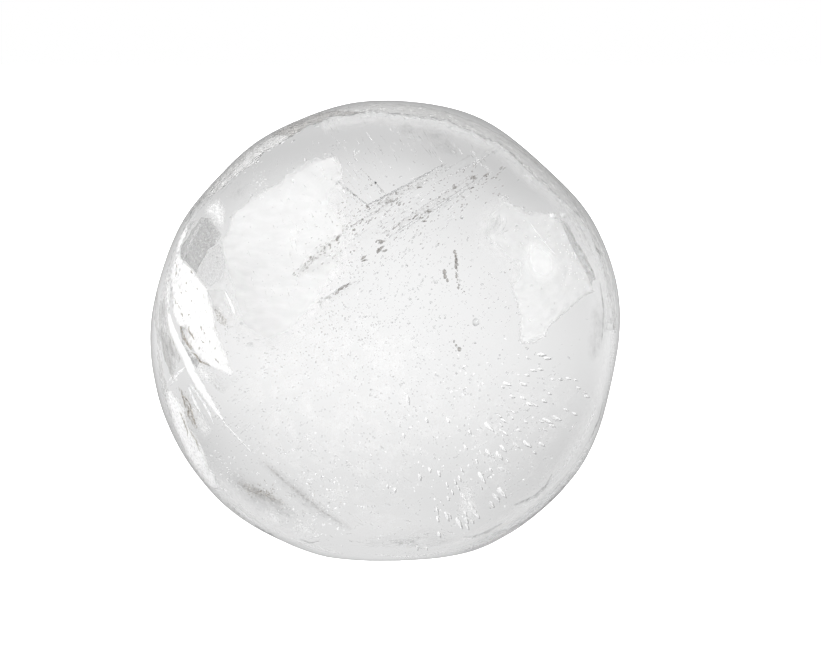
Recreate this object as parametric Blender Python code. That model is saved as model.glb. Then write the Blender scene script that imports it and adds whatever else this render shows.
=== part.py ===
"""A ball of clear ice, cast round, then melted into broad soft flats. It stands on the flattest.

Metres, +Z up. The origin is on the foot's plane, under the middle of the ball. -Y is the ball's front.
"""

import math
import random

import bmesh
import bpy
from mathutils import Vector

MM = 0.001

# Driving dimensions
ROUND_RADIUS = 30.15 * MM  # of the ball before it melted
FOOT_DROP = 27.8 * MM  # from the ball's heart down to the plane it stands on
BLUNTNESS = 60  # how crisply one melted flat meets the next: higher is crisper
FINENESS = 5  # subdivisions of the icosphere that the ball starts as

# Broad flats that melting left. Each faces a direction and lies at a distance from the heart.
# name: (degrees round from +X towards +Y, degrees above the horizon, distance)
FLATS = {
    "crown": (90, 84, 29.85 * MM),
    "right_shoulder": (0, 48, 29.5 * MM),
    "right_flank": (-2, -12, 29.45 * MM),
    "left_crown": (180, 68, 29.6 * MM),
    "left_shoulder": (180, 43, 29.4 * MM),
    "left_temple": (176, 19, 29.55 * MM),
    "left_keel": (182, -68, 29.2 * MM),
    "front_brow": (-72, 40, 29.5 * MM),
    "front_face": (-104, -4, 29.4 * MM),
    "front_chin": (-80, -40, 29.6 * MM),
    "front_left": (-142, 24, 29.6 * MM),
    "front_right": (-36, 10, 29.6 * MM),
    "front_low_right": (-38, -48, 29.45 * MM),
    "back_crown": (62, 60, 29.5 * MM),
    "back_face": (104, 6, 29.2 * MM),
    "back_left": (146, -30, 29.5 * MM),
    "back_right": (38, 18, 29.4 * MM),
    "back_heel": (88, -50, 29.45 * MM),
}

# Shallow hollows, like the cups that melting leaves in old ice, spread evenly over the ball
HOLLOWS = 46
HOLLOW_HALF_WIDTH = (2.6 * MM, 4.6 * MM)  # narrowest, widest
HOLLOW_DEPTH = (0.03 * MM, 0.16 * MM)  # shallowest, deepest
HOLLOW_SEED = 11

# Folds in the skin: a groove between two low lips, along an arc from one direction to another.
# name: (start round, start above, end round, end above, half width, depth), in degrees and metres
FOLDS = {
    "right_fold_long": (-18, -15, -25, -56, 1.0 * MM, 0.17 * MM),
    "right_fold_high": (-27, -13, -26, -29, 0.95 * MM, 0.15 * MM),
    "right_crescent": (-27, -35, -39, -47, 0.9 * MM, 0.2 * MM),
    "right_fold_low": (-29, -53, -49, -60, 0.9 * MM, 0.2 * MM),
    "left_fold_low": (-160, -52, -131, -58, 1.1 * MM, 0.2 * MM),
    "left_ledge": (-165, 21, -151, -31, 1.15 * MM, 0.32 * MM),
    "crown_fold": (-128, 66, -66, 68, 1.2 * MM, 0.2 * MM),
    "back_fold_high": (52, 30, 84, 38, 1.3 * MM, 0.26 * MM),
    "back_fold_low": (118, -28, 150, -14, 1.2 * MM, 0.24 * MM),
}
FOLD_FADE = 2.2 * MM  # over which a fold dies away past its ends
FOLD_REACHES = (2.6, 1.5)  # half widths to each side of a fold where the mesh is halved, then halved again


def facing(around, above):
    """The unit direction that many degrees round from +X and above the horizon."""
    around, above = math.radians(around), math.radians(above)
    level = math.cos(above)
    return Vector((level * math.cos(around), level * math.sin(around), math.sin(above)))


def new_collection(name):
    collection = bpy.data.collections.new(name)
    bpy.context.scene.collection.children.link(collection)
    return collection


def ice_material():
    """Clear, colourless ice with a wet skin."""
    material = bpy.data.materials.new("clear_ice")
    material.use_nodes = True
    shader = material.node_tree.nodes["Principled BSDF"]
    shader.inputs["Base Color"].default_value = (0.93, 0.95, 0.96, 1)
    shader.inputs["Metallic"].default_value = 0.0
    shader.inputs["Roughness"].default_value = 0.03
    shader.inputs["IOR"].default_value = 1.31
    shader.inputs["Transmission Weight"].default_value = 1.0
    material.diffuse_color = (0.85, 0.9, 0.93, 1)
    return material


def spread_hollows():
    """Each hollow's centre, half width and depth. The centres wind round the ball on an even spiral."""
    dice = random.Random(HOLLOW_SEED)
    golden_angle = math.pi * (3 - math.sqrt(5))
    off_place = 0.25  # radians that a hollow may lie to either side of its even place
    hollows = []
    for i in range(HOLLOWS):
        height = 1 - 2 * (i + 0.5) / HOLLOWS
        around = i * golden_angle + dice.uniform(-off_place, off_place)
        level = math.sqrt(1 - height * height)
        centre = Vector((level * math.cos(around), level * math.sin(around), height))
        hollows.append((centre, dice.uniform(*HOLLOW_HALF_WIDTH), dice.uniform(*HOLLOW_DEPTH)))
    return hollows


def distance_from_fold(direction, start, end):
    """How far the ball's skin in a direction is from a fold's arc: across it, and past its ends."""
    pole = start.cross(end).normalized()
    across = abs(math.asin(max(-1.0, min(1.0, direction.dot(pole))))) * ROUND_RADIUS
    on_arc = (direction - pole * direction.dot(pole)).normalized()
    middle = (start + end).normalized()
    half_length = start.angle(end) / 2
    past_end = max(on_arc.angle(middle) - half_length, 0.0) * ROUND_RADIUS
    return across, past_end


def flattened_radius(direction):
    """The melted ball's radius in a direction: a soft least of the sphere and every flat's plane."""
    total = ROUND_RADIUS**-BLUNTNESS
    for around, above, distance in FLATS.values():
        lean = max(direction.dot(facing(around, above)), 0.0)
        total += (lean / distance) ** BLUNTNESS
    return total ** (-1 / BLUNTNESS)


def hollowed(direction, hollows):
    """How deep the shallow hollows are in a direction."""
    depth = 0.0
    for centre, half_width, deepest in hollows:
        away = direction.angle(centre) * ROUND_RADIUS / half_width
        depth += deepest * math.exp(-away * away)
    return depth


def folded(direction):
    """How deep the folds are in a direction: below zero on their lips."""
    depth = 0.0
    for from_around, from_above, to_around, to_above, half_width, deepest in FOLDS.values():
        start, end = facing(from_around, from_above), facing(to_around, to_above)
        across, past_end = distance_from_fold(direction, start, end)
        t = across / half_width
        fade = math.exp(-((past_end / FOLD_FADE) ** 2))
        depth += deepest * fade * (1 - t * t) * math.exp(-t * t)
    return depth


def refine_along_folds(ball, reach):
    """Splits the faces along each fold, so that its groove has enough of them to show."""
    near = []
    for edge in ball.edges:
        middle = (edge.verts[0].co + edge.verts[1].co).normalized()
        for from_around, from_above, to_around, to_above, half_width, _ in FOLDS.values():
            start, end = facing(from_around, from_above), facing(to_around, to_above)
            across, past_end = distance_from_fold(middle, start, end)
            if across < reach * half_width and past_end < FOLD_FADE:
                near.append(edge)
                break
    bmesh.ops.subdivide_edges(ball, edges=near, cuts=1, use_grid_fill=True)
    bmesh.ops.triangulate(ball, faces=ball.faces)


def cut_foot(ball):
    """Cuts the ball level at the plane it stands on, and closes it with one flat face."""
    everything = ball.verts[:] + ball.edges[:] + ball.faces[:]
    bmesh.ops.bisect_plane(
        ball,
        geom=everything,
        dist=1e-7,
        plane_co=(0, 0, -FOOT_DROP),
        plane_no=(0, 0, 1),
        clear_inner=True,
    )
    rim = [edge for edge in ball.edges if edge.is_boundary]
    bmesh.ops.contextual_create(ball, geom=rim)


def stand_on_origin(ball):
    """Moves the foot to Z 0, and the middle of the ball's width and depth over the origin."""
    for axis in range(2):
        places = [vertex.co[axis] for vertex in ball.verts]
        middle = (min(places) + max(places)) / 2
        for vertex in ball.verts:
            vertex.co[axis] -= middle
    bmesh.ops.translate(ball, verts=ball.verts, vec=(0, 0, FOOT_DROP))


def make_ice_ball(collection):
    ball = bmesh.new()
    bmesh.ops.create_icosphere(ball, subdivisions=FINENESS, radius=ROUND_RADIUS)
    for reach in FOLD_REACHES:
        refine_along_folds(ball, reach)
    hollows = spread_hollows()
    for vertex in ball.verts:
        direction = vertex.co.normalized()
        depth = hollowed(direction, hollows) + folded(direction)
        vertex.co = direction * (flattened_radius(direction) - depth)
    cut_foot(ball)
    stand_on_origin(ball)
    bmesh.ops.recalc_face_normals(ball, faces=ball.faces)

    mesh = bpy.data.meshes.new("ice_ball")
    ball.to_mesh(mesh)
    ball.free()
    mesh.shade_smooth()
    mesh.set_sharp_from_angle(angle=math.radians(30))
    mesh.materials.append(ice_material())
    ice = bpy.data.objects.new("ice_ball", mesh)
    collection.objects.link(ice)
    return ice


def main():
    for existing in list(bpy.data.objects):
        bpy.data.objects.remove(existing)
    make_ice_ball(new_collection("ice_ball"))


main()
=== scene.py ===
# %% [markdown]
# # A ball of clear ice
#
# The object is one ball of ice, frozen in a round mould and then melted a little. Clear ice has no
# colour of its own. All that the eye sees is the light that it bends: the bright wall behind it in
# the middle, the dimmer sides of the room in a grey belt near the rim, and the air and the cracks
# that froze inside it. So this lesson builds three things: a room that is bright behind the ball
# and dimmer at its sides, the wet skin, and the cracks and bubbles inside.

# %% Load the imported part
import math
import random
import time

import bmesh
import bpy
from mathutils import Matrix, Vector, kdtree, noise
from mathutils.bvhtree import BVHTree


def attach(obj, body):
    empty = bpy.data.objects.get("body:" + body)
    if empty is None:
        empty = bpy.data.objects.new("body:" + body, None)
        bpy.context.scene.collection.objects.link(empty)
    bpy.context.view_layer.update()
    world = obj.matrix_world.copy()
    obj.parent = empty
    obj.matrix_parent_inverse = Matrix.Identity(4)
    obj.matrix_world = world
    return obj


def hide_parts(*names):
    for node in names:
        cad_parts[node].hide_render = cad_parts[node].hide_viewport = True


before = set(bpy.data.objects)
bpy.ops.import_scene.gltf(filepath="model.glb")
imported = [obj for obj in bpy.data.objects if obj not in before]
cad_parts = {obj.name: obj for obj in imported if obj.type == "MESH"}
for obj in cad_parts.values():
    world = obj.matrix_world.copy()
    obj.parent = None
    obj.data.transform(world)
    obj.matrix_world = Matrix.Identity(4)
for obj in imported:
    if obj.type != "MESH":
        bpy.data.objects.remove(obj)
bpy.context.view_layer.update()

MM = 0.001
STARTED = time.time()

# %% [markdown]
# ## The camera
#
# A long lens keeps the ball's outline nearly free of perspective, as in a product shot. The frame
# is 821 by 659 pixels, and one pixel is 0.1275 mm at the ball, because the ball is 470 pixels and
# 60 mm wide. The camera looks a little down, and the ball sits left of the middle of the frame.

# %% Place the camera
FRAME_PX = Vector((821, 659))
BALL_PX = Vector((386.3, 334.3))  # the middle of the ball's outline
BALL_RADIUS_PX = 234.0
MM_PER_PX = 60.0 / 470.5
LOOKING_DOWN = math.radians(5)
LENS_MM = 150
SENSOR_MM = 36
DISTANCE = LENS_MM / SENSOR_MM * FRAME_PX.x * MM_PER_PX * MM
OUTLINE_HEART = Vector((0.115, 0, 27.71)) * MM  # where the middle of the outline is in the ball

to_camera = Vector((0, -math.cos(LOOKING_DOWN), math.sin(LOOKING_DOWN)))
camera_right = Vector((1, 0, 0))
camera_up = to_camera.cross(camera_right)

off_centre = (FRAME_PX / 2 - BALL_PX) * MM_PER_PX * MM
aim = OUTLINE_HEART + camera_right * off_centre.x - camera_up * off_centre.y
camera_data = bpy.data.cameras.new("camera")
camera_data.lens = LENS_MM
camera_data.sensor_width = SENSOR_MM
camera_data.clip_start = 0.01
camera_data.clip_end = 20
camera = bpy.data.objects.new("camera", camera_data)
camera.location = aim + to_camera * DISTANCE
camera.rotation_euler = to_camera.to_track_quat("Z", "Y").to_euler()
bpy.context.scene.collection.objects.link(camera)
bpy.context.scene.camera = camera
print("camera", round(DISTANCE / MM), "mm from the ball")

# %% [markdown]
# ## Two small helpers for materials
#
# A colour picked from a screen is in sRGB, and Blender's sockets want linear light. One function
# turns a hex colour into linear. Another adds a node, sets its settings and fills its inputs.


# %% Helpers for colours and nodes
def linear(hex_colour):
    """A linear RGBA colour from an sRGB hex code such as #E8EEF0."""
    channels = [int(hex_colour[i : i + 2], 16) / 255 for i in (1, 3, 5)]
    return [c / 12.92 if c <= 0.04045 else ((c + 0.055) / 1.055) ** 2.4 for c in channels] + [1]


def add_node(tree, kind, settings, inputs):
    """Adds a node with its settings, and gives its first output. An input is a value or an output."""
    node = tree.nodes.new(kind)
    for name, value in settings.items():
        setattr(node, name, value)
    for key, value in inputs.items():
        if isinstance(value, bpy.types.NodeSocket):
            tree.links.new(value, node.inputs[key])
        else:
            node.inputs[key].default_value = value
    return node.outputs[0] if node.outputs else None


def new_material(name):
    """A material with a Principled shader: the material, its tree and its shader."""
    material = bpy.data.materials.new(name)
    material.use_nodes = True
    return material, material.node_tree, material.node_tree.nodes["Principled BSDF"]


# %% [markdown]
# ## The room
#
# Ice looks like the room around it. Photographers put a bright wall behind clear things and let
# the room fall off to grey at the sides, so that the rim turns grey and the shape shows. The ball
# turns a line of sight by more the nearer it passes to the rim: 15 degrees half way out, 37 near
# the grey belt and over 60 at the outline. So the wall's light is given by that angle. Black cards
# beside the lens keep the skin's own reflections dimmer than what shows through it, which is how
# a clear thing gets a dark outline. Two soft boxes, overhead and at the left of the lens, light
# only what scatters: flags keep them out of the clear ice. White ice scatters light many times
# over, so rays that it has scattered count for more. The camera itself sees plain white all round,
# as with a white sweep.

# %% Measure the room
# how bright the room is, by how many degrees a direction is from straight ahead of the camera
WALL_LIGHT = [
    (5, 0.945), (15, 0.915), (24, 0.87), (31, 0.8), (37, 0.765), (47, 0.775), (54, 0.74), (60, 0.68),
    (75, 0.54), (90, 0.5), (110, 0.72), (180, 0.92),
]
# how much of that shows, by how far a direction points down (-1) or up (1)
HEIGHT_SHARE = [
    (-1.0, 0.8), (-0.8, 0.84), (-0.7, 0.86), (-0.6, 0.84), (-0.5, 0.79), (-0.4, 0.9), (-0.3, 0.97),
    (-0.2, 1.0), (-0.1, 1.0), (0.0, 0.98), (0.1, 0.92), (0.2, 0.87), (0.3, 0.85), (0.4, 0.9), (0.5, 0.98),
    (0.6, 1.0), (0.7, 1.0), (1.0, 1.0),
]
# and by how far it points left (-1) or right (1)
SIDE_SHARE = [
    (-1.0, 0.95), (-0.8, 0.97), (-0.65, 0.88), (-0.5, 0.81), (-0.3, 0.805), (-0.1, 0.84), (0.0, 0.855),
    (0.3, 0.845), (0.5, 0.83), (0.65, 0.89), (0.8, 1.0), (1.0, 0.98),
]
SIDE_GAIN = 1.17  # makes up for the side shares, most of which are near 0.85
KEY_WAY = Vector((-0.55, -0.7, 0.45)).normalized()  # to a soft box in front, up to the left
KEY_LIGHT = 1.6
KEY_EDGE = (0.72, 0.95)  # cosines from its middle between which its light rises from nothing to full
OVERHEAD_LIGHT = 2.0
OVERHEAD_EDGE = (0.8, 0.95)
FROST_GAIN = 1.2  # how much more a ray counts that white ice has scattered
FROST_FILL = 0.4  # and the light that it always has
EDGE_GLOSS = 0.4  # what of the room the skin mirrors where it is seen edge on
FACE_GLOSS = 0.9  # and where it turns more to the eye
GLOSS_EDGE = (0.72, 0.95)  # cosines from straight ahead between which one passes into the other


# %% Light the room
def room_light():
    """The light of the room from every side, as the camera, the clear ice and the frost see it."""
    world = bpy.data.worlds.new("soft_studio")
    world.use_nodes = True
    tree = world.node_tree
    tree.nodes.clear()
    coordinates = tree.nodes.new("ShaderNodeTexCoord")
    direction = coordinates.outputs["Generated"]
    split = tree.nodes.new("ShaderNodeSeparateXYZ")
    tree.links.new(direction, split.inputs[0])
    to_right, ahead, up = split.outputs

    by_angle = [(math.cos(math.radians(angle)), light) for angle, light in reversed(WALL_LIGHT)]
    grades = []
    for value, stops in ((ahead, by_angle), (up, HEIGHT_SHARE), (to_right, SIDE_SHARE)):
        place = add_node(tree, "ShaderNodeMapRange", {}, {0: value, 1: -1.0, 2: 1.0})
        grade = add_node(tree, "ShaderNodeValToRGB", {}, {0: place})
        ramp = grade.node.color_ramp
        ramp.interpolation = "B_SPLINE"
        ramp.elements.remove(ramp.elements[1])
        for number, (position, light) in enumerate(stops):
            stop = ramp.elements[0] if number == 0 else ramp.elements.new(0.5 + 0.5 * position)
            stop.position = 0.5 + 0.5 * position
            stop.color = [light] * 3 + [1]
        grades.append(grade)
    wall = SIDE_GAIN
    for grade in grades:
        wall = add_node(tree, "ShaderNodeMath", {"operation": "MULTIPLY"}, {0: wall, 1: grade})

    toward_key = tree.nodes.new("ShaderNodeVectorMath")
    toward_key.operation = "DOT_PRODUCT"
    tree.links.new(direction, toward_key.inputs[0])
    toward_key.inputs[1].default_value = KEY_WAY
    soft = {"interpolation_type": "SMOOTHSTEP"}
    rises = []
    for value, (low, high), least, most in (
        (toward_key.outputs["Value"], KEY_EDGE, 0.0, KEY_LIGHT),
        (up, OVERHEAD_EDGE, 0.0, OVERHEAD_LIGHT),
        (ahead, GLOSS_EDGE, FACE_GLOSS, EDGE_GLOSS),
    ):
        limits = {0: value, 1: low, 2: high, 3: least, 4: most}
        rises.append(add_node(tree, "ShaderNodeMapRange", soft, limits))
    key, overhead, gloss = rises
    boxes = add_node(tree, "ShaderNodeMath", {"operation": "ADD"}, {0: key, 1: overhead})

    path = tree.nodes.new("ShaderNodeLightPath")
    reflected = {0: path.outputs["Is Reflection Ray"], 2: 1.0, 3: gloss}
    mirrored = add_node(tree, "ShaderNodeMix", {"data_type": "FLOAT"}, reflected)
    clear = add_node(tree, "ShaderNodeMath", {"operation": "MULTIPLY"}, {0: wall, 1: mirrored})
    all_light = add_node(tree, "ShaderNodeMath", {"operation": "ADD"}, {0: wall, 1: boxes})
    gained = {0: all_light, 1: FROST_GAIN, 2: FROST_FILL}
    frosted = add_node(tree, "ShaderNodeMath", {"operation": "MULTIPLY_ADD"}, gained)
    was_scattered = {0: path.outputs["Diffuse Depth"], 1: 1.0}
    scattered = add_node(tree, "ShaderNodeMath", {"operation": "MINIMUM"}, was_scattered)
    chosen = {0: scattered, 2: clear, 3: frosted}
    light = add_node(tree, "ShaderNodeMix", {"data_type": "FLOAT"}, chosen)
    seen = {0: path.outputs["Is Camera Ray"], 2: light, 3: 1.0}
    light = add_node(tree, "ShaderNodeMix", {"data_type": "FLOAT"}, seen)
    glow = add_node(tree, "ShaderNodeBackground", {}, {"Strength": 1.0, "Color": light})
    add_node(tree, "ShaderNodeOutputWorld", {}, {"Surface": glow})
    bpy.context.scene.world = world
    bpy.context.scene.view_settings.view_transform = "Standard"


room_light()
print("the room falls from", WALL_LIGHT[0][1], "behind the ball to", min(light for _, light in WALL_LIGHT))

# %% [markdown]
# ## The floor
#
# The ball stands on a pale sheet lit from below, a light table, so it casts no hard shadow. Rays
# that the ball bends pass through the sheet and meet the dimmer room below, as they would over the
# gap between a small light table and its backdrop.

# %% Lay the floor
TABLE_REACH = 6.0  # metres from the ball to each side
TABLE_CLOUDS = 3.0  # clouds of wear to a metre
TABLE_ROUGHNESS = (0.8, 0.95)


def light_table():
    """Opal acrylic with a matt face. It spreads the lamps' light, so the eye sees plain soft white."""
    tile = bmesh.new()
    bmesh.ops.create_grid(tile, x_segments=1, y_segments=1, size=TABLE_REACH)
    mesh = bpy.data.meshes.new("light_table")
    tile.to_mesh(mesh)
    tile.free()
    material, tree, shader = new_material("opal_acrylic")
    place = tree.nodes.new("ShaderNodeTexCoord").outputs["Object"]
    cloud = add_node(tree, "ShaderNodeTexNoise", {}, {"Vector": place, "Scale": TABLE_CLOUDS})
    limits = {0: cloud, 3: TABLE_ROUGHNESS[0], 4: TABLE_ROUGHNESS[1]}
    roughness = add_node(tree, "ShaderNodeMapRange", {}, limits)
    tree.links.new(roughness, shader.inputs["Roughness"])
    shader.inputs["Base Color"].default_value = linear("#F4F4F4")
    shader.inputs["Emission Color"].default_value = (1, 1, 1, 1)
    shader.inputs["Emission Strength"].default_value = 1.0
    mesh.materials.append(material)
    floor = bpy.data.objects.new("light_table", mesh)
    floor.visible_transmission = False
    floor.visible_glossy = False
    bpy.context.scene.collection.objects.link(floor)


light_table()
print("light table laid at the ball's foot")

# %% [markdown]
# ## Finishing a piece
#
# Each piece becomes a mesh at the origin, takes its material, and rides on the one body.


# %% Finish a piece
def finish_piece(shape, name, material):
    """A piece of the ice from a bmesh, which is used up."""
    mesh = bpy.data.meshes.new(name)
    shape.to_mesh(mesh)
    shape.free()
    mesh.shade_smooth()
    mesh.materials.append(material)
    piece = bpy.data.objects.new(name, mesh)
    bpy.context.scene.collection.objects.link(piece)
    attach(piece, "root")
    triangles = sum(len(face.vertices) - 2 for face in mesh.polygons)
    print(f"{time.time() - STARTED:5.1f} s  {name}: {triangles} triangles")
    return piece


# %% [markdown]
# ## The wet skin
#
# The skin of melting ice is smooth and wet, with broad soft flats, shallow cups and a few folds.
# Clear ice shows every ripple of its skin in the light that it bends, so the skin wants small even
# faces. An icosphere has the most even ones. It is drawn in onto the solid and then smoothed.

# %% Wrap a fine skin round the solid
HEART = Vector((0, 0, 27.8)) * MM
SKIN_FINENESS = 7  # subdivisions of the icosphere
SKIN_SMOOTHING = 24
FOOT_HEIGHT = 2.5 * MM
FOOT_SMOOTHING = 12  # more near the foot, where melt water rounds the rim
RIPPLE = 0.03 * MM
RIPPLE_LENGTH = 3.8 * MM
OUTSIDE = 100 * MM  # from the heart to well outside the ball


def smooth(shape, verts, times):
    for _ in range(times):
        bmesh.ops.smooth_vert(
            shape, verts=verts, factor=0.5, use_axis_x=True, use_axis_y=True, use_axis_z=True
        )


def fine_skin(node):
    """A smooth closed skin of small even faces over that node of the solid, gently rippled."""
    solid = bmesh.new()
    solid.from_mesh(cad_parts[node].data)
    bmesh.ops.remove_doubles(solid, verts=solid.verts, dist=0.001 * MM)
    solid_tree = BVHTree.FromBMesh(solid)
    solid.free()

    skin = bmesh.new()
    bmesh.ops.create_icosphere(skin, subdivisions=SKIN_FINENESS, radius=1.0)
    for vertex in skin.verts:
        way = vertex.co.normalized()
        vertex.co = solid_tree.ray_cast(HEART + way * OUTSIDE, -way)[0]
    smooth(skin, skin.verts, SKIN_SMOOTHING)
    smooth(skin, [vertex for vertex in skin.verts if vertex.co.z < FOOT_HEIGHT], FOOT_SMOOTHING)
    for vertex in skin.verts:
        way = (vertex.co - HEART).normalized()
        vertex.co += way * noise.noise(vertex.co / RIPPLE_LENGTH) * RIPPLE
        vertex.co.z = max(vertex.co.z, 0.0)
    bmesh.ops.recalc_face_normals(skin, faces=skin.faces)
    return skin


# %% [markdown]
# The material is clear ice: no colour, an IOR of 1.31, and a trace of absorption. Its surface was
# melted, so it is wet and as smooth as glass, with patches where the film of water is thinner and
# a fine orange-peel ripple of about a millimetre and a half.

# %% Clear ice for the skin
ICE_IOR = 1.31
FILM_PATCH = 5 * MM  # across a patch of the water film
FILM_EDGE = (0.45, 0.75)  # the noise between which the film thins out
THIN_FILM_ROUGHNESS = 0.02
PEEL_LENGTH = 1.5 * MM
PEEL_HEIGHT = 0.02 * MM
ABSORPTION_PER_METRE = 2.0


def clear_ice():
    """Melting ice, frozen clear. The eye sees a wet glassy skin and, bent by it, what lies behind."""
    material, tree, shader = new_material("clear_melting_ice")
    place = tree.nodes.new("ShaderNodeTexCoord").outputs["Object"]
    film = add_node(tree, "ShaderNodeTexNoise", {}, {"Vector": place, "Scale": 1 / FILM_PATCH})
    limits = {0: film, 1: FILM_EDGE[0], 2: FILM_EDGE[1], 3: 0.0, 4: THIN_FILM_ROUGHNESS}
    roughness = add_node(tree, "ShaderNodeMapRange", {}, limits)
    peel_look = {"Vector": place, "Scale": 1 / PEEL_LENGTH, "Detail": 3.0}
    peel = add_node(tree, "ShaderNodeTexNoise", {}, peel_look)
    bump = add_node(tree, "ShaderNodeBump", {}, {"Height": peel, "Strength": 1.0, "Distance": PEEL_HEIGHT})
    tree.links.new(roughness, shader.inputs["Roughness"])
    tree.links.new(bump, shader.inputs["Normal"])
    shader.inputs["Base Color"].default_value = (1, 1, 1, 1)
    shader.inputs["Transmission Weight"].default_value = 1.0
    shader.inputs["IOR"].default_value = ICE_IOR
    absorb = {"Color": linear("#F6F8F8"), "Density": ABSORPTION_PER_METRE}
    volume = add_node(tree, "ShaderNodeVolumeAbsorption", {}, absorb)
    tree.links.new(volume, tree.nodes["Material Output"].inputs["Volume"])
    return material


skin_shape = fine_skin("ice_ball")
SKIN_TREE = BVHTree.FromBMesh(skin_shape)
ice_skin = finish_piece(skin_shape, "ice_skin", clear_ice())
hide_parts("ice_ball")

# %% [markdown]
# ## Where a thing inside the ice is seen
#
# The skin bends every line of sight, as the side of a fishbowl does. The first function sends the
# eye's ray through a pixel, bends it at the skin by Snell's law, and says where it goes inside.
# The others put a thing at a share of the way through, just under the skin, or on a plane.

# %% Follow a line of sight into the ice
STEP_INWARDS = 0.99  # for a pixel past the rim, until it meets the ball
MARGIN = 0.4 * MM  # what is on a plane stays that far inside the skin


def sight_line(pixel):
    """Where the eye's ray through a pixel enters the ice, its way on, and how far it then has to go."""
    pixel = Vector(pixel)
    entry = None
    while entry is None:
        across = (pixel - FRAME_PX / 2) * (SENSOR_MM / LENS_MM / FRAME_PX.x)
        way = (camera_right * across.x - camera_up * across.y - to_camera).normalized()
        entry, normal, _, _ = SKIN_TREE.ray_cast(camera.location, way)
        pixel = BALL_PX + (pixel - BALL_PX) * STEP_INWARDS
    facing = -way.dot(normal)
    inside_facing = math.sqrt(1 - (1 - facing**2) / ICE_IOR**2)
    bent = (way / ICE_IOR + normal * (facing / ICE_IOR - inside_facing)).normalized()
    chord = SKIN_TREE.ray_cast(entry + bent * 0.1 * MM, bent)[3]
    return entry, bent, chord


def in_ice(pixel, depth):
    """The point seen at a pixel, that share of the way (0 to 1) from the front skin to the back."""
    entry, way, chord = sight_line(pixel)
    return entry + way * chord * depth


def near_skin(depth):
    """Puts what is seen at a pixel that many mm behind the front skin."""
    return lambda pixel: in_ice(pixel, 0.0) + sight_line(pixel)[1] * depth * MM


def on_plane(anchors):
    """Puts what is seen at a pixel on the plane through three points given as (x, y, depth share)."""
    a, b, c = [in_ice(anchor[:2], anchor[2]) for anchor in anchors]
    normal = (b - a).cross(c - a).normalized()

    def place(pixel):
        entry, way, chord = sight_line(pixel)
        distance = (a - entry).dot(normal) / way.dot(normal)
        return entry + way * min(max(distance, MARGIN), chord - MARGIN)

    return place


print("through the middle a line of sight runs", round(sight_line(BALL_PX)[2] / MM, 1), "mm in the ice")

# %% [markdown]
# ## What cracks and bubbles are made of
#
# A bubble or an open crack is air inside ice, so its surface bends light the other way: its faces
# point into the air. It mirrors the dim sides of the room and looks dark. A crack that has half
# healed is a sheet of tiny bubbles. It scatters light and looks white, and its faces point out.
# Both cover only part of what is behind them: a noise makes them patchy, and an attribute fades
# them out where they close. The grain of real crazed ice is finer than a pixel, so the noise is as
# coarse as it needs to be to show.

# %% Make the cover patchy
THIN, THICK = 0.36, 0.64  # the noise that gives the thinnest and the thickest cover
FROST_ROUGHNESS = 0.5


def patchy(tree, shader, cover, mottle, grain):
    """Links the alpha to a cloudy cover, times the attribute that says how much of a sheet shows."""
    place = tree.nodes.new("ShaderNodeTexCoord").outputs["Object"]
    fine = {"Vector": place, "Scale": 1 / (grain * MM), "Detail": 4.0}
    cloud = add_node(tree, "ShaderNodeTexNoise", {}, fine)
    thin_to_thick = {0: cloud, 1: THIN, 2: THICK, 3: cover - mottle, 4: cover + mottle}
    amount = add_node(tree, "ShaderNodeMapRange", {}, thin_to_thick)
    shown = tree.nodes.new("ShaderNodeAttribute")
    shown.attribute_name = "shown"
    product = {"operation": "MULTIPLY", "use_clamp": True}
    alpha = add_node(tree, "ShaderNodeMath", product, {0: amount, 1: shown.outputs["Fac"]})
    tree.links.new(alpha, shader.inputs["Alpha"])


def bubbly(name, colour, clearness, roughness, patches=None):
    """Air in ice: its colour, how clear and rough it is, and the cover, mottle and grain in mm."""
    material, tree, shader = new_material(name)
    shader.inputs["Base Color"].default_value = linear(colour)
    shader.inputs["Transmission Weight"].default_value = clearness
    shader.inputs["Roughness"].default_value = roughness
    shader.inputs["IOR"].default_value = ICE_IOR
    if patches:
        patchy(tree, shader, *patches)
    return material


def frost(name, colour, clearness, *patches):
    """Fine bubbles in a sheet: white or grey, with some of the light passing through."""
    return bubbly(name, colour, clearness, FROST_ROUGHNESS, patches)


# %% Air: clear, and dark where it mirrors the room
# name, colour, clearness, roughness, then cover, how much the cover varies, and grain in mm
CLEAR_AIR = bubbly("trapped_air", "#FCFDFD", 1.0, 0.0)  # a bead with a thin dark edge
DARK_AIR = bubbly("grey_tinted_air", "#C6C3C0", 1.0, 0.05)  # the same, greyer all over
OPEN_CRACK = bubbly("open_crack", "#FCFDFD", 1.0, 0.12, (0.6, 0.4, 0.4))  # a dim mirror with gaps
HEALING_CRACK = bubbly("healing_crack", "#FCFDFD", 1.0, 0.15, (0.25, 0.25, 0.5))  # a thin grey film
SEAM_CRACK = bubbly("seam_crack", "#FCFDFD", 1.0, 0.15, (0.35, 0.35, 0.4))  # a broken grey thread
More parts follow.
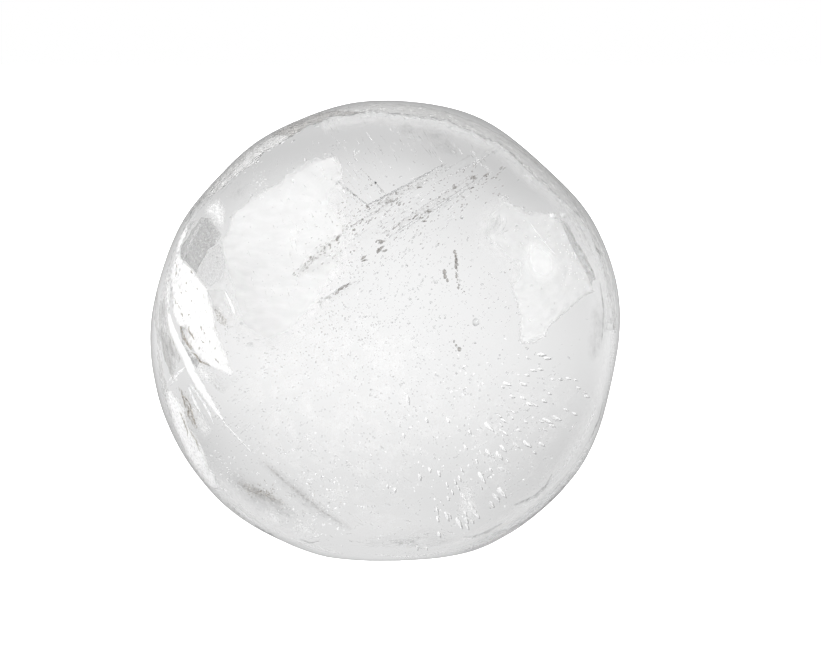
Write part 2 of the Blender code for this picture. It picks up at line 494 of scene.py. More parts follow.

# %% White frost, from silk to chalk, and painted light
# name, colour, clearness, cover, how much the cover varies, and grain in mm
SILKY_FROST = frost("silky_frost", "#E8E8E8", 0.3, 0.66, 0.06, 2.5)  # an even pane of silk
PALE_FROST = frost("pale_frost", "#E4E4E4", 0.35, 0.46, 0.06, 1.6)  # thinner silk, half seen through
PAINTED_HIGHLIGHT_WHITE = frost("painted_highlight_frost", "#FFFFFF", 0.1, 0.3, 0.03, 2.0)  # a painted highlight: a soft bright spot
THIN_FROST = frost("thin_frost", "#F0F0F0", 0.3, 0.18, 0.12, 0.5)  # a pale film, here and there
GLOW_FROST = frost("veiled_ice", "#EAEAEA", 0.3, 0.28, 0.06, 2.0)  # a pale haze
PAINTED_GLOW_WHITE = frost("painted_rim_light", "#FFFFFF", 0.1, 0.24, 0.05, 1.6)  # a brighter haze of painted light
PAINTED_FOLD_LIGHT = frost("painted_light_in_the_folds", "#FFFFFF", 0.1, 0.3, 0.06, 1.5)  # a soft streak of painted highlight
THREAD_FROST = frost("frosted_threads", "#FFFFFF", 0.1, 0.12, 0.16, 0.5)  # white threads with gaps
SOLID_WHITE = frost("solid_white_ice", "#FFFFFF", 0.05, 1.0, 0.12, 0.6)  # as white as chalk
WHITE_FROST = frost("crazed_white_ice", "#FCFCFC", 0.05, 0.9, 0.25, 0.5)  # packed snow
FLANK_FROST = frost("broken_white_ice", "#FFFFFF", 0.05, 1.0, 0.4, 0.35)  # crushed snow, with holes
SPARKLING_FROST = frost("sparkling_ice", "#FFFFFF", 0.1, 0.24, 0.6, 0.16)  # single white glints
MIST = frost("misty_ice", "#FFFFFF", 0.1, 0.03, 0.06, 1.6)  # only softens what is behind it
TEAR_FROST_AND_HIGHLIGHTS = frost("frosted_tears_and_painted_highlights", "#FFFFFF", 0.1, 0.95, 0.1, 0.5)  # solid bright grains, some of them painted highlights

# %% Grey frost, silt and painted shade
BELT_FROST = frost("grey_seam_ice", "#CCCBC9", 0.5, 0.2, 0.08, 1.2)  # a rough grey band, seen through
TOP_BELT_FROST = frost("grey_ice_of_the_top_seam", "#BAB8B5", 0.3, 0.34, 0.1, 0.8)  # the same, denser
GREY_PAINTED_SHADE = frost("grey_facet_painted_shade", "#AEAEAE", 0.4, 0.38, 0.3, 0.2)  # a grainy grey facet, painted shade
PALE_FACET = frost("pale_facet_ice", "#B8B8B8", 0.3, 0.1, 0.08, 0.2)  # a facet that hardly shows
CLOUD_AND_SHADE = frost("clouded_ice_and_painted_shade", "#A8A8A8", 0.3, 0.16, 0.08, 1.2)  # a soft grey cloud, also used as painted shade
GREY_THREAD = frost("grey_threads_of_the_veil", "#9A9895", 0.3, 0.1, 0.1, 0.5)  # a faint grey thread
THIN_SHADE = frost("thin_grey_ice_and_painted_fold_shade", "#9C9C9C", 0.3, 0.22, 0.1, 0.5)  # a fine grey line, and painted shade along the folds
TEAR_SHADE = frost("shaded_side_of_tears", "#A0A0A0", 0.3, 0.36, 0.2, 0.3)  # the dim side of a grain
SILT_AND_SHADOW_FROST = frost("ice_with_silt_and_painted_shadow", "#80776A", 0.2, 0.18, 0.26, 0.2)  # thin brownish dust, and a painted shadow
PIT_SILT = frost("silt_in_pits", "#A79F93", 0.1, 0.5, 0.5, 0.25)  # paler dust, gathered in spots
print(len(bpy.data.materials), "materials so far")


# %% [markdown]
# ## Crack sheets
#
# A crack is a thin gap with a jagged outline. The outline is drawn in pixels, filled and split
# until its faces are small. Then each corner goes along its line of sight to its place in the ice,
# bowed and rippled a little, and an extrusion opens the sheet by less than a tenth of a millimetre.


# %% Draw and fill outlines in pixels
TOO_LONG = 1.35  # an edge is split that is longer than the grain by this
FILL_ROUNDS = 8


def along_path(path, step=3.0):
    """Pixels evenly along a path of pixels."""
    found = []
    for start, end in zip(path, path[1:]):
        start, end = Vector(start), Vector(end)
        count = max(int((end - start).length / step), 1)
        found += [start.lerp(end, number / count) for number in range(count)]
    return found + [Vector(path[-1])]


def ribbon(path, width, taper=0.25):
    """The outline of a ribbon that many pixels wide along a path of pixels, narrower at its ends."""
    middle = along_path(path, 6.0)
    left, right = [], []
    for number, place in enumerate(middle):
        before, after = middle[max(number - 1, 0)], middle[min(number + 1, len(middle) - 1)]
        along = (after - before).normalized()
        across = Vector((-along.y, along.x))
        share = number / (len(middle) - 1)
        half = width / 2 * (taper + (1 - taper) * math.sin(math.pi * share) ** 0.5)
        left.append(place + across * half)
        right.append(place - across * half)
    return left + right[::-1]


def closed(outline):
    """An outline back to its first pixel, as the soft edge of a sheet that fades out all round."""
    return outline + outline[:1]


def fill_outline(outline, grain):
    """A flat sheet, in pixels, that fills a loop with triangles about that long."""
    sheet = bmesh.new()
    verts = [sheet.verts.new((*pixel, 0)) for pixel in outline]
    rim = [sheet.edges.new(pair) for pair in zip(verts, verts[1:] + verts[:1])]
    bmesh.ops.triangle_fill(sheet, use_beauty=True, edges=rim)
    for _ in range(FILL_ROUNDS):
        long_edges = [edge for edge in sheet.edges if edge.calc_length() > grain * TOO_LONG]
        if not long_edges:
            break
        bmesh.ops.subdivide_edges(sheet, edges=long_edges, cuts=1)
        bmesh.ops.triangulate(sheet, faces=sheet.faces)
        bmesh.ops.beautify_fill(sheet, faces=sheet.faces, edges=sheet.edges)
    smooth(sheet, [vertex for vertex in sheet.verts if not vertex.is_boundary], 4)
    return sheet


# %% Set a sheet in the ice
BOW_WAVES = 0.012  # to a pixel
RIPPLE_WAVES = 0.11
FRAY_WAVES = 0.17


def mark_shown(sheet, soft_edge, reach):
    """Stores how much of a sheet shows: none at its soft edge, all from that many pixels inwards."""
    layer = sheet.verts.layers.float.new("shown")
    tree = kdtree.KDTree(len(soft_edge))
    for number, pixel in enumerate(soft_edge):
        tree.insert((*pixel, 0), number)
    tree.balance()
    for vertex in sheet.verts:
        share = min(tree.find(vertex.co)[2] / reach, 1.0) if soft_edge else 1.0
        vertex[layer] = share * share * (3 - 2 * share)


def open_sheet(sheet, gap):
    """Makes a closed thin body of a sheet: a copy of its faces, lifted off along the corners' normals."""
    bmesh.ops.recalc_face_normals(sheet, faces=sheet.faces)
    sheet.normal_update()
    made = bmesh.ops.extrude_face_region(sheet, geom=sheet.faces[:], use_keep_orig=True)
    for corner in made["geom"]:
        if isinstance(corner, bmesh.types.BMVert):
            corner.co += corner.normal * gap
    bmesh.ops.recalc_face_normals(sheet, faces=sheet.faces)


def sheet_in_ice(
    outline, place, frosted, soft=(), reach=1.0, bow=0.0, ripple=0.1, grain=4.0, fray=1.2, gap=0.08,
    seed=1, ease=0,
):
    """A thin sheet seen along an outline, fading out towards its soft edge over its reach.

    The outline, reach, grain and fray are in pixels, and the bow, ripple and gap in mm.
    """
    shift = Vector((seed * 3.7, seed * 1.1, seed * 2.3))  # each seed has its own part of the noise
    sheet = fill_outline(outline, grain)
    mark_shown(sheet, along_path(soft) if soft else [], reach)
    for vertex in sheet.verts:
        pixel = vertex.co.xy
        broad = noise.noise(vertex.co * BOW_WAVES + shift)
        fine = noise.noise(vertex.co * RIPPLE_WAVES + shift)
        if vertex.is_boundary:
            pixel = pixel + noise.noise_vector(vertex.co * FRAY_WAVES + shift).xy * fray
        point = place(pixel)
        vertex.co = point + (point - camera.location).normalized() * (broad * bow + fine * ripple) * MM
    smooth(sheet, [vertex for vertex in sheet.verts if not vertex.is_boundary], ease)
    open_sheet(sheet, gap * MM)
    if not frosted:
        bmesh.ops.reverse_faces(sheet, faces=sheet.faces)
    return sheet


def join(shapes):
    """One shape from many. Each of them is used up."""
    joined = bmesh.new()
    joined.verts.layers.float.new("shown")
    for shape in shapes:
        mesh = bpy.data.meshes.new("one")
        shape.to_mesh(mesh)
        shape.free()
        joined.from_mesh(mesh)
        bpy.data.meshes.remove(mesh)
    return joined


def sheets(outlines, place, frosted, seed, faded=False, **look):
    """Sheets along many outlines, the seed counted up. Faded ones die out all round."""
    made = []
    for number, outline in enumerate(outlines):
        soft = closed(outline) if faded else ()
        made.append(sheet_in_ice(outline, place, frosted, soft=soft, seed=seed + number, **look))
    return made


def ribbons(strokes, place, frosted, seed, faded=False, **look):
    """Sheets along many paths with their widths, the seed counted up. Faded ones show along their middle."""
    made = []
    for number, (path, width) in enumerate(strokes):
        outline = ribbon(path, width)
        fade = {"soft": closed(outline), "reach": width / 2} if faded else {}
        made.append(sheet_in_ice(outline, place, frosted, seed=seed + number, **fade, **look))
    return made


# %% [markdown]
# ## The two bright windows
#
# Two silky cracks fill the ball's upper left and its right, like frosted window panes. Each has one
# crisp scalloped edge, where it stopped, and fades out on its other side, where it has healed. They
# lean back in the ice, so they catch the light from above and hide the grey belt behind them.

# %% The upper left window
UPPER_LEFT_EDGE = [
    (350, 200), (346, 186), (343, 176), (342, 167), (336, 157), (327, 159), (317, 161), (307, 165),
    (298, 170), (290, 176), (282, 182), (272, 186), (263, 190), (253, 197), (243, 207), (233, 215),
    (228, 232), (221, 241), (222, 250), (225, 260), (222, 276), (211, 287),
]
UPPER_LEFT_FADE = [
    (211, 287), (214, 305), (224, 330), (240, 352), (268, 362), (300, 350), (330, 318), (352, 282),
    (366, 246), (362, 220), (350, 200),
]
UPPER_LEFT_PLANE = [(300, 296, 0.3), (338, 157, 0.75), (207, 255, 0.4)]
window = sheet_in_ice(
    UPPER_LEFT_EDGE + UPPER_LEFT_FADE[1:-1], on_plane(UPPER_LEFT_PLANE), True, soft=UPPER_LEFT_FADE, reach=48,
    bow=1.0, ripple=0.02, grain=5, fray=0.5, seed=1, ease=10,
)
finish_piece(window, "upper_left_window", SILKY_FROST)

# %% The right window
RIGHT_EDGE = [
    (498, 196), (505, 197), (512, 204), (522, 211), (533, 215), (543, 214), (553, 215), (556, 220),
    (563, 223), (570, 240), (577, 253), (582, 265), (588, 277), (594, 292), (584, 296), (573, 305),
    (566, 311), (560, 317), (553, 323), (548, 328), (545, 337), (534, 342), (522, 345), (521, 332),
    (520, 318), (518, 304), (512, 288), (505, 272),
]
RIGHT_FADE = [(505, 272), (492, 264), (478, 256), (470, 242), (470, 224), (476, 208), (487, 198)]
RIGHT_PLANE = [(503, 197, 0.7), (594, 292, 0.35), (522, 345, 0.55)]
window = sheet_in_ice(
    RIGHT_EDGE + RIGHT_FADE[1:], on_plane(RIGHT_PLANE), True, soft=RIGHT_FADE, reach=30,
    bow=1.0, ripple=0.03, grain=5, fray=0.8, seed=2, ease=10,
)
finish_piece(window, "right_window", PALE_FROST)

# %% [markdown]
# The right window has a painted highlight, a soft bright spot with a bright ridge beside it, a few bright
# chips at its top, and open dark slivers along its outer edge. Where it began, two shell-like steps ring the
# spot.

# %% Painted highlight and chips of the right window
HIGHLIGHT_SPOT = [
    (523, 244), (530, 237), (541, 237), (553, 244), (562, 256), (563, 270), (556, 283), (543, 287),
    (530, 281), (522, 268), (520, 255),
]
BRIGHT_RIDGE = [(529, 222), (541, 238), (556, 256)]
CHIPS = [
    [(550, 213), (556, 213), (556, 219), (550, 218)], [(560, 212), (566, 213), (566, 218), (560, 218)],
    [(574, 252), (580, 257), (582, 263), (576, 259)], [(583, 264), (589, 269), (591, 275), (585, 271)],
]
in_front = near_skin(4.0)
# a soft white sheet painted as a highlight, with the bright ridge beside it
highlight_sheets = [
    sheet_in_ice(HIGHLIGHT_SPOT, in_front, True, soft=closed(HIGHLIGHT_SPOT), reach=14, ripple=0.02, grain=3, seed=3),
    sheet_in_ice(ribbon(BRIGHT_RIDGE, 1.2), in_front, True, grain=3, fray=0.4, seed=4),
]
finish_piece(join(highlight_sheets), "right_window_painted_highlight", PAINTED_HIGHLIGHT_WHITE)
chips = [sheet_in_ice(chip, in_front, True, grain=3, fray=0.8, seed=5) for chip in CHIPS]
finish_piece(join(chips), "right_window_chips", WHITE_FROST)

# %% Slivers and steps of the right window
SLIVERS = [
    [(564, 224), (571, 236), (577, 246)], [(573, 240), (581, 253), (587, 262)],
    [(582, 256), (588, 266), (595, 280)],
]
SLIVER_SHADE = [
    (560, 219), (568, 224), (576, 240), (586, 256), (594, 274), (592, 286), (586, 272), (577, 256),
    (570, 242),
]
SHELL_STEPS = [
    [(505, 212), (505, 222), (500, 231), (492, 236)], [(499, 214), (499, 222), (495, 229), (488, 232)],
]
STEP_WIDTH = 5
slivers = ribbons([(path, 5) for path in SLIVERS], in_front, False, 6, grain=3)
finish_piece(join(slivers), "right_window_slivers", OPEN_CRACK)
shade = sheet_in_ice(SLIVER_SHADE, near_skin(2.0), True, grain=3, fray=0.8, seed=29)
finish_piece(shade, "right_window_shade", CLOUD_AND_SHADE)
steps = []
for path in SHELL_STEPS:
    step = ribbon(path, STEP_WIDTH)
    steps.append(sheet_in_ice(step, in_front, False, soft=path, reach=2.5, grain=3, fray=0.3, seed=9))
finish_piece(join(steps), "right_window_steps", HEALING_CRACK)

# %% [markdown]
# ## The white ice at the left
#
# The left flank cracked badly: a white crazed mass with wisps round it, a white line that runs down
# from it along a ledge in the skin, and a broken white flank near the outline.

# %% White ice and its wisps
WHITE_MASS = [
    (178, 246), (181, 259), (188, 266), (196, 276), (205, 288), (210, 298), (214, 311), (216, 328),
    (220, 339), (225, 350), (229, 361), (234, 373), (230, 376), (220, 371), (210, 366), (202, 361),
    (196, 356), (190, 348), (186, 340), (187, 333), (185, 327), (179, 326), (175, 320), (172, 311),
    (172, 294), (170, 280), (171, 269), (175, 257),
]
WHITE_CORNER = [
    (187, 223), (187, 231), (184, 239), (180, 246), (178, 256), (175, 250), (179, 240), (183, 231),
]
WHITE_WISPS = [
    [(170, 386), (178, 374), (187, 366)], [(198, 386), (206, 398), (216, 410), (222, 420)],
    [(190, 384), (202, 400), (210, 414), (214, 424)], [(188, 386), (196, 404), (204, 418)],
    [(166, 396), (172, 414), (180, 430)], [(167, 276), (168, 292), (167, 306)],
    [(224, 290), (231, 304), (236, 318)], [(165, 384), (172, 378), (180, 372)], [(205, 289), (214, 290)],
    [(170, 284), (168, 300), (168, 318)],
]
mass_fade = WHITE_MASS[5:12]
white = [
    sheet_in_ice(WHITE_MASS, near_skin(2.0), True, soft=mass_fade, reach=7, ripple=0.5, gap=0.14, seed=10),
    sheet_in_ice(WHITE_CORNER, near_skin(1.2), True, ripple=0.3, gap=0.12, seed=14),
]
white += ribbons([(path, 2.4) for path in WHITE_WISPS], near_skin(0.9), True, 20, grain=3, fray=0.5)
finish_piece(join(white), "left_white_ice", WHITE_FROST)

# %% The white line and the white flank
WHITE_LINE = [
    (168, 314), (172, 330), (179, 346), (186, 360), (192, 373), (199, 386), (208, 399), (216, 411),
    (223, 420),
]
WHITE_LINE_TAIL = [(220, 417), (230, 429), (241, 441), (252, 452)]
WHITE_FLANK = [
    (167, 390), (174, 394), (181, 402), (186, 412), (188, 424), (196, 436), (203, 446), (207, 458),
    (210, 470), (216, 480), (219, 489), (212, 489), (204, 482), (197, 472), (190, 460), (183, 446),
    (177, 432), (172, 417), (167, 403),
]
line = [
    sheet_in_ice(ribbon(WHITE_LINE, 8), near_skin(0.6), True, ripple=0.2, grain=3, gap=0.12, seed=11),
    sheet_in_ice(ribbon(WHITE_LINE_TAIL, 1.1), near_skin(0.8), True, fray=0.5, seed=12),
]
finish_piece(join(line), "left_white_line", SOLID_WHITE)
flank_fade = WHITE_FLANK[1:9]
flank = sheet_in_ice(WHITE_FLANK, near_skin(0.35), True, soft=flank_fade, reach=5, grain=3, fray=3.2, seed=13)
finish_piece(flank, "left_white_flank", FLANK_FROST)

# %% [markdown]
# Small pits with a little silt in them break up the white, and a paler wing stands off its side.

# %% Pits and the wing
PITS = [
    ([(175, 262), (177, 268)], 2.4), ([(177, 272), (175, 279)], 2.2), ([(179, 284), (180, 289)], 1.8),
    ([(177, 303), (180, 309)], 2.4), ([(181, 313), (183, 319)], 2.2), ([(203, 294), (204, 299)], 2.0),
    ([(174, 299), (176, 305)], 2.0), ([(200, 326), (201, 331)], 2.2), ([(184, 289), (186, 293)], 1.4),
    ([(190, 270), (192, 274)], 1.2), ([(201, 340), (204, 344)], 1.4), ([(190, 345), (193, 349)], 1.8),
    ([(188, 326), (190, 334), (194, 340)], 1.6), ([(181, 327), (184, 338), (191, 350)], 2.4),
    ([(192, 352), (201, 361), (210, 366)], 2.0), ([(206, 310), (207, 315)], 1.1),
    ([(214, 358), (219, 363)], 1.0),
]
SMEAR_LINES = [
    ([(189, 428), (196, 440), (200, 452)], 1.0), ([(180, 412), (185, 424), (188, 436)], 1.2),
    ([(181, 390), (184, 399), (186, 408)], 1.2), ([(184, 396), (190, 404), (193, 416), (197, 428)], 1.6),
    ([(190, 404), (188, 414), (193, 424)], 1.0),
]
PIT_SPECKS = [
    (186, 283), (181, 292), (191, 301), (196, 289), (204, 333), (209, 341), (199, 348), (215, 349),
    (188, 315),
]
WHITE_WING = [
    (207, 289), (216, 290), (225, 290), (230, 298), (234, 306), (238, 314), (241, 321), (227, 321),
    (219, 314), (214, 310), (211, 298),
]
specks_of_silt = [([(x, y - 1), (x + 0.6, y), (x + 0.4, y + 1.2)], 1.3) for x, y in PIT_SPECKS]
pits = ribbons(PITS, near_skin(0.9), True, 300, grain=2, fray=1.6)
pits += ribbons(specks_of_silt, near_skin(0.9), True, 330, grain=2)
pits += ribbons(SMEAR_LINES, near_skin(0.3), True, 350, grain=2, fray=1.2)
finish_piece(join(pits), "left_white_ice_pits", PIT_SILT)
wing = sheet_in_ice(WHITE_WING, near_skin(1.6), True, soft=WHITE_WING[3:9], reach=12, grain=3, seed=18)
finish_piece(wing, "left_white_wing", PALE_FROST)

# %% [markdown]
# Some patches only sparkle: they are so thinly frosted that the eye sees grains of white.

# %% Sparkling patches
SPARKLES = [
    [(262, 506), (276, 508), (286, 520), (280, 530), (264, 522)],
    [(292, 518), (310, 520), (324, 534), (310, 542), (294, 536)],
    [(196, 462), (216, 474), (232, 500), (226, 510), (208, 488)],
    [(462, 480), (474, 486), (480, 510), (470, 524), (456, 510)],
    [(192, 357), (200, 362), (210, 368), (216, 378), (208, 386), (198, 378)],
    [(180, 392), (192, 398), (204, 412), (214, 430), (206, 440), (192, 424), (184, 408)],
    [(202, 212), (208, 202), (218, 198), (226, 206), (226, 222), (221, 230), (214, 222), (208, 216)],
]
sparkling = sheets(SPARKLES, near_skin(1.2), True, 30, faded=True, reach=8, ripple=0.3)
finish_piece(join(sparkling), "sparkling_patches", SPARKLING_FROST)

# %% [markdown]
# ## Grey facets of painted shade
#
# Between the upper left window and the rim, and below the white ice, small rough cracks turn away
# from the light, and their shade is painted on them as grey facets. Paler ones beside them have nearly
# healed.

# %% Grey facets of painted shade
# cracks turned away from the light, with their shade painted in grey
PAINTED_SHADE_FACETS = [
    [
        (201, 217), (211, 218), (218, 229), (222, 234), (217, 243), (208, 249), (204, 258), (196, 273),
        (185, 261), (181, 259), (181, 249), (185, 241), (194, 228),
    ],
    [
        (180, 326), (186, 328), (183, 336), (186, 345), (193, 355), (200, 362), (196, 368), (189, 358),
        (182, 344),
    ],
]
PALE_PATCH = [
    (209, 249), (219, 244), (225, 260), (224, 271), (219, 280), (210, 287), (205, 286), (196, 273),
    (204, 258),
]
FAINT_FACETS = [
    [(196, 361), (210, 366), (226, 375), (240, 375), (236, 384), (224, 394), (210, 384)],
    [(188, 222), (200, 217), (194, 227), (185, 240), (187, 230)],
]
shaded_facets = [
    sheet_in_ice(outline, near_skin(2.2), True, soft=outline[1:5], reach=4, ripple=0.08, seed=40 + n)
    for n, outline in enumerate(PAINTED_SHADE_FACETS)
]
finish_piece(join(shaded_facets), "painted_shade_facets", GREY_PAINTED_SHADE)
finish_piece(sheet_in_ice(PALE_PATCH, near_skin(2.2), True, ripple=0.08, seed=45), "pale_patch", PALE_FACET)
faint = sheets(FAINT_FACETS, near_skin(2.0), False, 80, faded=True, reach=3, ripple=0.08)
finish_piece(join(faint), "faint_facets", HEALING_CRACK)

# %% [markdown]
# ## The grey belt of the rim
#
# The mould's two halves met at the ball's outline. Along that seam the ice is rough: a thin grey
# belt with a jagged inner edge, which is denser at the top, and grey strokes at the left.

# %% Belt and strokes along the rim
BELT_EDGE = [
    (186, 222), (196, 206), (210, 196), (222, 188), (232, 178), (246, 168), (255, 163), (264, 152),
    (278, 145), (290, 137), (307, 126), (320, 122), (332, 116), (350, 115), (365, 112), (380, 111),
    (393, 114), (405, 114), (425, 117), (447, 120), (460, 127), (473, 131), (485, 139), (497, 142),
    (507, 150), (516, 158), (525, 167), (536, 178), (547, 185), (556, 194), (563, 200), (572, 208),
    (580, 217), (588, 230), (595, 244), (602, 262), (608, 285), (612, 308), (614, 330),
]
LEFT_STROKES = [
    ([(161, 300), (161, 325), (165, 350), (172, 376)], 6), ([(166, 322), (171, 342), (179, 362)], 7),
    ([(157, 290), (156, 320), (160, 350)], 3), ([(162, 330), (166, 356), (174, 380)], 4),
    ([(158, 350), (162, 376), (168, 396)], 3), ([(164, 296), (164, 318)], 3),
    ([(166, 332), (169, 348), (175, 368)], 7), ([(168, 336), (172, 356)], 4),
]
BELT_REACH = 0.985  # of the ball's radius, the belt's outer edge
TOP_FIRST, TOP_LAST = 8, 32  # the denser part, in places along the belt's edge


def at_rim(pixel, reach):
    """The pixel in the same direction from the middle of the ball, at that share of its radius."""
    return BALL_PX + (Vector(pixel) - BALL_PX).normalized() * BALL_RADIUS_PX * reach


outer_edge = [at_rim(pixel, BELT_REACH) for pixel in BELT_EDGE]
top_inner = [Vector(pixel) for pixel in BELT_EDGE[TOP_FIRST + 1 : TOP_LAST]]
top_outer = outer_edge[TOP_FIRST : TOP_LAST + 1]
top_belt = sheet_in_ice(
    top_outer[:1] + top_inner + top_outer[-1:] + top_outer[::-1], near_skin(0.45), True, ripple=0.05, grain=3,
    fray=1.6, seed=98,
)
finish_piece(top_belt, "top_rim_belt", TOP_BELT_FROST)
belt = sheets([BELT_EDGE + outer_edge[::-1]], near_skin(0.55), True, 100, grain=3.5, fray=1.4)
belt += ribbons(LEFT_STROKES, near_skin(0.6), True, 101, ripple=0.15, grain=3)
finish_piece(join(belt), "grey_rim_belt", BELT_FROST)

# %% [markdown]
# Just inside the belt lies pale ice, and thin streaks follow the rim.

# %% The pale ice just inside the belt
GLOW_REACH = 0.93  # of the way from the middle of the ball to the belt's edge
glow_edge = BELT_EDGE[11:]
glow_fade = [BALL_PX + (Vector(pixel) - BALL_PX) * GLOW_REACH for pixel in glow_edge]
glow = sheet_in_ice(glow_edge + glow_fade[::-1], near_skin(0.6), True, soft=glow_fade, reach=13, seed=99)
finish_piece(glow, "pale_belt_side", GLOW_FROST)


# %% Streaks along the rim
def rim_streaks(count, first, last, widths, spans, seed):
    """Paths and widths of thin streaks that follow the rim, between two directions in degrees."""
    dice = random.Random(seed)
    found = []
    for _ in range(count):
        start, span, reach = dice.uniform(first, last), dice.uniform(*spans), dice.uniform(0.92, 0.985)
        turns = [math.radians(start + span * share) for share in (0, 0.33, 0.67, 1)]
        path = [at_rim(BALL_PX + Vector((math.cos(turn), -math.sin(turn))), reach) for turn in turns]
        found.append((path, dice.uniform(*widths)))
    return found


RIM_STREAKS = [  # name, material, how many, first and last direction, widths, spans, seed
    ("dark_rim_streaks", CLOUD_AND_SHADE, 18, 110, 200, (1.0, 2.4), (8, 24), 103),
    ("light_rim_streaks", THIN_FROST, 16, 130, 215, (1.0, 2.6), (8, 26), 104),
    ("right_rim_streaks", CLOUD_AND_SHADE, 5, 5, 50, (1.0, 2.4), (10, 26), 105),
]
for name, material, *spread in RIM_STREAKS:
    strokes = rim_streaks(*spread)
    streaks = ribbons(strokes, near_skin(0.5), True, 110, faded=True, ripple=0.05, grain=3, fray=0.3)
    finish_piece(join(streaks), name, material)

# %% [markdown]
# White streaks painted as highlights lie along the folds in the skin, where they gather light. The belt's
# inner edge is an open crack, broken into short lengths, and a pale glow of painted light lies low along both
# sides of the rim and inside its upper left.

# %% Painted light in the folds
# streaks of painted highlight along the folds of the skin
PAINTED_FOLD_HIGHLIGHTS = [
    ([(611, 372), (608, 396), (601, 420)], 3), ([(606, 398), (599, 424), (588, 446), (576, 466)], 5),
    ([(590, 440), (578, 462), (562, 486), (540, 508), (516, 526)], 6),
    ([(556, 474), (546, 488), (532, 499), (514, 506)], 4), ([(596, 404), (588, 428), (574, 450)], 3),
    ([(576, 480), (556, 504), (530, 522), (502, 536)], 3),
    ([(512, 528), (490, 540), (462, 549), (430, 554)], 5), ([(500, 524), (484, 534), (464, 540)], 3),
    ([(612, 330), (613, 350), (611, 372)], 5), ([(372, 554), (404, 557), (440, 554)], 3),
    ([(228, 502), (246, 516), (270, 532)], 6), ([(286, 536), (316, 548), (346, 554)], 4),
]
fold_highlights = ribbons(PAINTED_FOLD_HIGHLIGHTS, near_skin(0.5), True, 500, faded=True, ripple=0.03, grain=2.5, fray=0.2)
finish_piece(join(fold_highlights), "painted_fold_highlights", PAINTED_FOLD_LIGHT)

# %% The crack at the belt's inner edge, and the painted glows
GAP_PLACES = [0, 3, 6, *range(8, 26), 28, 31, 34]  # along the belt's edge
# bands of white haze painted as light, low along the rim and inside its upper left
PAINTED_RIM_GLOWS = [
    ([(612, 345), (606, 400), (585, 445), (556, 482), (520, 516), (480, 540), (430, 556)], 0.95, 24),
    ([(194, 450), (208, 476), (238, 508), (274, 534), (330, 553)], 0.96, 22),
]
edge_gaps = []
for number in GAP_PLACES:
    gap = ribbon(BELT_EDGE[number : number + 2], 1.5)
    edge_gaps.append(
        sheet_in_ice(gap, near_skin(0.3), False, ripple=0.15, grain=2.5, fray=2.4, seed=150 + number)
    )
finish_piece(join(edge_gaps), "belt_edge_gaps", SEAM_CRACK)
glow_paths = [([at_rim(pixel, reach) for pixel in path], width) for path, reach, width in PAINTED_RIM_GLOWS]
painted_glows = ribbons(glow_paths, near_skin(0.7), True, 190, faded=True, ripple=0.02)
left_inner, left_outer = [Vector(pixel) for pixel in BELT_EDGE[2:11]], outer_edge[2:11]
left_glow = left_inner + left_outer[::-1]
painted_glows.append(sheet_in_ice(left_glow, near_skin(0.7), True, soft=left_outer, reach=5, ripple=0.03, seed=193))
finish_piece(join(painted_glows), "painted_rim_glows", PAINTED_GLOW_WHITE)

# %% [markdown]
# ## Smudges, clouds, painted shade and mist
#
# A little silt froze in where the ice closed last, in soft brownish smudges, and one smudge below the
# white ice is a painted shadow. Grey clouds lie near the rim and low at the left, one at the right rim
# painted as shade, and a mist that hardly shows softens the middle.

# %% Silt, painted shadow, clouds and mist
SILT_AND_SHADOW_SMUDGES = [
    ([(238, 482), (252, 490), (268, 497), (286, 505)], 10),
    ([(178, 387), (184, 396), (189, 410), (196, 430)], 5),
    ([(264, 463), (290, 485), (315, 506), (342, 524)], 3), ([(222, 497), (236, 512), (252, 524)], 4),
    # a painted shadow below the white ice, in the silt's brownish colour
    ([(214, 304), (220, 317), (229, 329)], 9),
]
CLOUDS_AND_SHADE = [
    ([(159, 322), (166, 350), (175, 378)], 10), ([(163, 300), (165, 330)], 7), ([(230, 198), (248, 184)], 22),
    ([(418, 128), (440, 141), (462, 156)], 24), ([(396, 124), (420, 134)], 16),
    ([(500, 214), (494, 226), (482, 236)], 12), ([(258, 458), (290, 486), (318, 510), (352, 530)], 16),
    # the cloud at the right rim, from (598, 300) down, is painted shade
    ([(226, 470), (256, 494), (300, 520)], 26), ([(598, 300), (600, 330), (592, 362)], 22),
]
MISTS = [
    [
        (236, 350), (290, 318), (370, 300), (440, 330), (470, 410), (440, 496), (380, 536), (312, 528),
        (262, 482), (234, 412),
    ],
    [(440, 370), (520, 352), (590, 372), (596, 430), (552, 492), (476, 530), (432, 470)],
    [(290, 470), (340, 474), (420, 500), (440, 530), (380, 546), (320, 528)],
]
silt_and_shadow = ribbons(SILT_AND_SHADOW_SMUDGES, near_skin(1.5), True, 120, faded=True, grain=3)
finish_piece(join(silt_and_shadow), "silt_and_painted_shadow_smudges", SILT_AND_SHADOW_FROST)
clouds_and_shade = ribbons(CLOUDS_AND_SHADE, near_skin(4.0), True, 130, faded=True)
finish_piece(join(clouds_and_shade), "grey_clouds_and_painted_shade", CLOUD_AND_SHADE)
mists = []
for number, outline in enumerate(MISTS):
    deeper, soft = near_skin(5.0 + 3.0 * number), closed(outline)
    mists.append(sheet_in_ice(outline, deeper, True, soft=soft, reach=34, grain=8, seed=240 + number))
finish_piece(join(mists), "mist", MIST)

# %% [markdown]
# ## The veil
#
# A plane of half-healed crack crosses the ball from the lower left to the upper right. The eye
# sees it nearly edge on, as soft grey bands, fine scratches and torn bubbles in straight rows.

